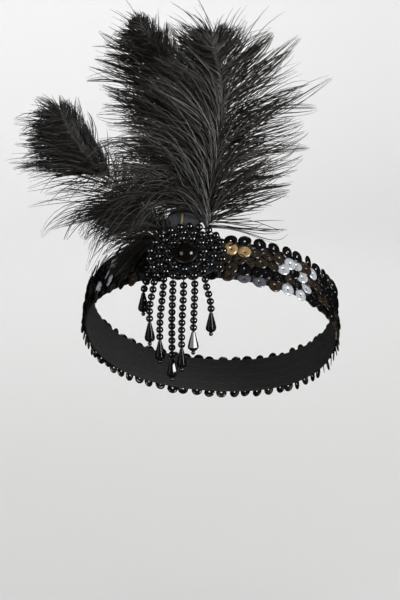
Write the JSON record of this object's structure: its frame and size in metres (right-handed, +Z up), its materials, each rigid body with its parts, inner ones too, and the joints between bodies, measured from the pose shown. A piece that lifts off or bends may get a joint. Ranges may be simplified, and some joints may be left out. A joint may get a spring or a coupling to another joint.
{
  "type": "feather headband",
  "caption": "Black flapper headband: a stretch band covered in sequins, with a beaded rosette, hanging bead strands that end in faceted drops, and tall ostrich plumes.",
  "frame": {"origin": "the middle of the head opening, where the band's middle line goes round the wearer's head", "axes": "+Z up as worn with the head level, -Y the way the wearer faces, +X to the right of someone looking at the wearer's face"},
  "size_m": [0.1894, 0.1835, 0.2606],
  "materials": {
    "elastic": "woven, matte black",
    "sequins": "glossy black with a few brown and silver glints",
    "felt": "felt, matte",
    "stone": "polished black",
    "pearls": "glossy dark grey to black",
    "cut_beads": "polished facets, black",
    "feather": "soft barbs with a grey-brown sheen",
    "quill": "bare tan quill"
  },
  "bodies": {
    "root": {"stretch_band": "elastic", "sequin_field": "sequins", "backing": "felt", "cabochon": "stone", "bead_ring_inner": "pearls", "bead_ring_middle": "pearls", "bead_ring_outer": "pearls", "quill_stub": "quill", "bead_strand_1": "pearls", "drop_1": "cut_beads", "bead_strand_2": "pearls", "drop_2": "cut_beads", "bead_strand_3": "pearls", "drop_3": "cut_beads", "bead_strand_4": "pearls", "drop_4": "cut_beads", "bead_strand_5": "pearls", "drop_5": "cut_beads", "bead_strand_6": "pearls", "drop_6": "cut_beads", "bead_strand_7": "pearls", "drop_7": "cut_beads", "plume_right": "feather", "plume_left": "feather", "plume_side": "feather", "plume_low": "feather"}
  },
  "joints": []
}
